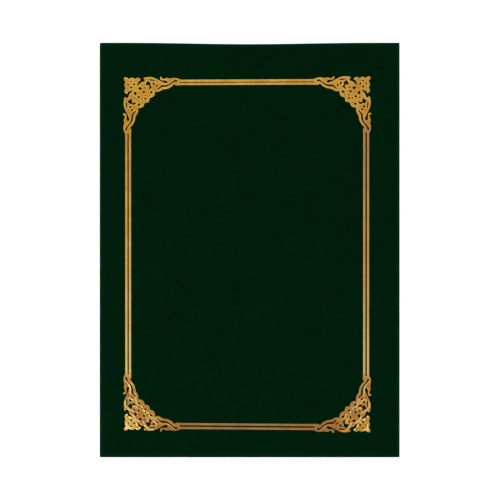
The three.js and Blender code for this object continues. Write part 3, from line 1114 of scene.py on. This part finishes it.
def stamped(x, y):
    toFore = (x - borderLow[0]) / (borderHigh[0] - borderLow[0])
    toHead = (y - borderLow[1]) / (borderHigh[1] - borderLow[1])
    shift = Vector((0, 0))
    for name, drift in stampDrift["corners"].items():
        shareX = toFore if "fore" in name else 1 - toFore
        shareY = toHead if "head" in name else 1 - toHead
        shift += shareX * shareY * Vector(drift)
    insetX = min(x - borderLow[0], borderHigh[0] - x)
    insetY = min(y - borderLow[1], borderHigh[1] - y)
    sideX, wayX = ("fore", -1) if toFore > 0.5 else ("spine", 1)
    sideY, wayY = ("head", -1) if toHead > 0.5 else ("tail", 1)
    return (
        x + shift.x + wayX * lineDrift(sideX, insetX, insetY),
        y + shift.y + wayY * lineDrift(sideY, insetY, insetX),
    )


# Closed outlines of a node's top face, as lists of (x, y), rounded so that shared corners match
def topOutlines(node):
    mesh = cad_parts[node].data
    high = max(v.co.z for v in mesh.vertices) - meshCare["sliver"] * mm
    faces = []
    for face in mesh.polygons:
        corners = [mesh.vertices[i].co for i in face.vertices]
        if min(c.z for c in corners) >= high:
            faces.append([(round(c.x / mm, 3), round(c.y / mm, 3)) for c in corners])
    following = dict(openSides(faces))
    outlines = []
    while following:
        start = min(following)
        outline = [start]
        here = following.pop(start)
        while here != start:
            outline.append(here)
            here = following.pop(here)
        outlines.append(outline)
    return outlines


# Corner cutting, which turns facets into curves and blunts sharp tips a little
def softened(outline, rounds, closed=True):
    for _ in range(rounds):
        cut = []
        for a, b in zip(outline, outline[1:] + outline[:1] if closed else outline[1:]):
            for share in (0.25, 0.75):
                cut.append(tuple((1 - share) * p + share * q for p, q in zip(a, b)))
        outline = cut if closed else [outline[0], *cut, outline[-1]]
    return outline


# A search tree of places along sides, no further apart than step
def placesAlong(sides, step):
    samples = []
    for a, b in sides:
        count = max(1, math.ceil(math.dist(a, b) / step))
        samples += [Vector((*a, 0)).lerp(Vector((*b, 0)), i / count) for i in range(count)]
    tree = kdtree.KDTree(len(samples))
    for i, place in enumerate(samples):
        tree.insert(place, i)
    tree.balance()
    return tree


# How far a place stands up, from its distance to a strand: 1 on it, below 0 in the crease beside
# it.
# The foil's tone follows it too, as a painted highlight on the strand and painted shade in the
# crease.
def ridgeAt(distance):
    look = strandLook
    near, deepest, far = look["crease"]
    crease = smoothStep(near, deepest, distance) * (1 - smoothStep(deepest, far, distance))
    return 1 - smoothStep(*look["reach"], distance) - look["creaseShare"] * crease


# A tree of places on the strands of a whole corner piece, both sides of its diagonal
def strandTree():
    sides = []
    for bends in foilStrands.values():
        strand = softened(bends, strandLook["smoothing"], False)
        sides += zip(strand, strand[1:])
    sides += [(a[::-1], b[::-1]) for a, b in sides]
    return placesAlong(sides, strandLook["sample"])


# Distance to the outlines at each point of a square grid, positive inside
def insideDistances(outlines, places):
    sides = [s for o in outlines for s in zip(o, o[1:] + o[:1])]
    tree = placesAlong(sides, foilRelief["sample"])
    field = []
    for v in places:
        crossings = sorted(
            a[0] + (v - a[1]) * (b[0] - a[0]) / (b[1] - a[1])
            for a, b in sides
            if (a[1] <= v) != (b[1] <= v)
        )
        row = []
        passed = 0
        for u in places:
            while passed < len(crossings) and crossings[passed] <= u:
                passed += 1
            distance = tree.find((u, v, 0))[2]
            row.append(distance if passed % 2 else -distance)
        field.append(row)
    return field


# The part of a grid that lies inside, as points (u, v, distance) and faces
def insideMesh(field, places):
    points = []
    numbers = {}

    def pointAt(key, u, v, distance):
        if key not in numbers:
            numbers[key] = len(points)
            points.append((u, v, distance))
        return numbers[key]

    faces = []
    for j in range(len(places) - 1):
        for i in range(len(places) - 1):
            cell = [(i, j), (i + 1, j), (i + 1, j + 1), (i, j + 1)]
            face = []
            for a, b in zip(cell, cell[1:] + cell[:1]):
                atA, atB = field[a[1]][a[0]], field[b[1]][b[0]]
                if atA > 0:
                    face.append(pointAt(a, places[a[0]], places[a[1]], atA))
                if (atA > 0) != (atB > 0):
                    share = atA / (atA - atB)
                    ends = ((places[m], places[n]) for m, n in zip(a, b))
                    u, v = (start + share * (end - start) for start, end in ends)
                    face.append(pointAt(tuple(sorted((a, b))), u, v, 0))
            if len(face) > 2:
                faces.append(face)
    return points, faces


# A closed piece of foil from its top, as points (x, y, distance, ridge) and faces, with walls down
# to just under the cover's face
def foilPiece(node, top, faces, tones):
    count = len(top)
    points = [(*stamped(x, y), foilHeight(distance, ridge, y)) for x, y, distance, ridge in top]
    points += [(x, y, holderThickness - foilRelief["sink"]) for x, y, _ in points]
    walls = [[b, a, a + count, b + count] for a, b in sorted(openSides(faces))]
    faces = faces + [[i + count for i in reversed(face)] for face in faces] + walls
    pale, haze = zip(*tones, *tones)
    values = {"tone": pale, "haze": haze}
    piece = newPiece(node.replace("foil", "border"), points, faces, goldFoil, values=values)
    seat(piece, "front_cover", goldFoil, node)


# The four corners mirror each other, so one field of distances serves them all
def cornerPieces():
    relief = foilRelief
    drawn = [
        [(x - borderLow[0], y - borderLow[1]) for x, y in outline]
        for outline in topOutlines("foil_corner_tail_spine")
    ]
    armLength = max(u for outline in drawn for u, _ in outline)

    # The arms' ends, run on past the grid
    def runOn(place):
        return place + relief["margin"] * (place > armLength - relief["endSpare"])

    longer = [[(runOn(u), runOn(v)) for u, v in outline] for outline in drawn]
    outlines = sorted((softened(outline, relief["smoothing"]) for outline in longer), key=max)
    cells = math.ceil((armLength + relief["margin"]) / relief["cell"])
    places = [armLength - relief["cell"] * (cells - i) for i in range(cells + 1)]
    outer = insideDistances(outlines[-1:], places)
    openings = insideDistances(outlines[:-1], places)
    field = [
        [min(d - relief["shrink"], -hole - relief["growth"]) for d, hole in zip(*rows)]
        for rows in zip(outer, openings)
    ]
    strands = strandTree()
    for name, (x, y, turnX, turnY) in borderCorners.items():
        worn = [
            [d + raggedness(x + turnX * u, y + turnY * v) for u, d in zip(places, row)]
            for v, row in zip(places, field)
        ]
        flat, faces = insideMesh(worn, places)
        ridged = [(u, v, d, ridgeAt(strands.find((u, v, 0))[2])) for u, v, d in flat]
        top = [(x + turnX * u, y + turnY * v, *heights) for u, v, *heights in ridged]
        if turnX * turnY < 0:
            faces = flipped(faces)
        foilPiece(f"foil_corner_{name}", top, faces, [cornerTone(name, *point) for point in ridged])


# A straight line of the border, run on to meet the corner pieces
def borderLine(node):
    relief = foilRelief
    low, high = boxOf(node)
    along = int(high[1] - low[1] > high[0] - low[0])
    near, far = low[1 - along] + relief["shrink"], high[1 - along] - relief["shrink"]
    start, end = low[along] - relief["lineSeam"], high[along] + relief["lineSeam"]
    rows = spread(start, end, math.ceil((end - start) / relief["lineStep"]))
    shares = [*relief["lineShares"], 0.5]
    shares += [1 - share for share in reversed(relief["lineShares"])]
    top = []
    tones = []
    for place in rows:
        for share in shares:
            distance = (far - near) * min(share, 1 - share)
            point = [place, place, distance, 0]
            point[1 - along] = near + (far - near) * share
            point[1 - along] += raggedness(*point[:2]) * (2 * share - 1)
            top.append(point)
            tones.append(lineTone(node.split("_")[2], (place - start) / (end - start), distance))
    faces = gridFaces(len(rows), len(shares))
    foilPiece(node, top, faces if along else flipped(faces), tones)


cornerPieces()
for node in sorted(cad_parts):
    if node.startswith("foil_line"):
        borderLine(node)
print("gold border laid")


# Boards and cards stay as they are, inside the covers
for name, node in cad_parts.items():
    if name.endswith(("board", "infill")):
        node.data.materials.clear()
        node.data.materials.append(greyboard if name.endswith("board") else infillCard)


# Studio: a pale floor, an even tent of light that is dimmer overhead, and one soft lamp by the tail
studio = {
    "floor": "#f4f4f2",
    "floorGlow": 0.5,
    "floorHalf": 6000,
    "floorDrop": 0.2,
    "floorMottle": 3,
    "floorRoughness": (0.8, 0.9),
    "tent": (1.06, 0.7),
    "opening": (0.93, 0.995),
    "lampPlace": (-420, -480, 420),
    "lampSize": 300,
    "lampWatts": 1.2,
}


def makeFloor():
    half = studio["floorHalf"]
    drop = -studio["floorDrop"]
    corners = [(x * half, y * half, drop) for x, y in ((-1, -1), (1, -1), (1, 1), (-1, 1))]
    material, tree, shader, place = newMaterial("floor_paper")
    mottle = addNode(
        tree, "TexNoise", {"Vector": place, "Scale": repeats(studio["floorMottle"]), "Detail": 3},
    )
    rough = addNode(
        tree, "MapRange",
        {"Value": mottle.outputs["Fac"], **limits("To", studio["floorRoughness"])},
    )
    setInputs(tree, shader, {
        "Base Color": toLinear(studio["floor"]),
        "Roughness": rough,
        "Specular IOR Level": 0.1,
        "Emission Color": (1, 1, 1, 1),
        "Emission Strength": studio["floorGlow"],
    })
    newPiece("floor", corners, [[0, 1, 2, 3]], material)


def makeLight():
    world = bpy.data.worlds.new("studio")
    scene.world = world
    world.use_nodes = True
    tree = world.node_tree
    direction = addNode(tree, "TexCoord").outputs["Generated"]
    height = addNode(tree, "SeparateXYZ", {"Vector": direction}).outputs["Z"]
    strength = addNode(
        tree, "MapRange",
        {"Value": height, **limits("From", studio["opening"]), **limits("To", studio["tent"])},
        interpolation_type="SMOOTHSTEP",
    )
    setInputs(tree, tree.nodes["Background"], {"Color": (1, 1, 1, 1), "Strength": strength})
    lamp = bpy.data.lights.new("tail_lamp", "AREA")
    lamp.size = studio["lampSize"] * mm
    lamp.energy = studio["lampWatts"]
    holder = bpy.data.objects.new("tail_lamp", lamp)
    holder.location = Vector(studio["lampPlace"]) * mm
    holder.rotation_euler = (-holder.location).to_track_quat("-Z", "Y").to_euler()
    scene.collection.objects.link(holder)


# Camera: straight above, with the frame as wide at the front cover as the photograph shows
cameraLook = {
    "lens": 200,
    "sensor": 36,
    "frameWidth": 374.95,
    "centre": (0.3, 0.04),
    "clipEnd": 100000,
}


def makeCamera():
    look = cameraLook
    camera = bpy.data.cameras.new("camera")
    camera.lens = look["lens"]
    camera.sensor_width = look["sensor"]
    camera.clip_end = look["clipEnd"] * mm
    eye = bpy.data.objects.new("camera", camera)
    away = look["frameWidth"] * look["lens"] / look["sensor"]
    eye.location = Vector((*look["centre"], holderThickness + away)) * mm
    scene.collection.objects.link(eye)
    scene.camera = eye


makeFloor()
makeLight()
makeCamera()
scene.view_settings.view_transform = "Standard"
print("studio set")
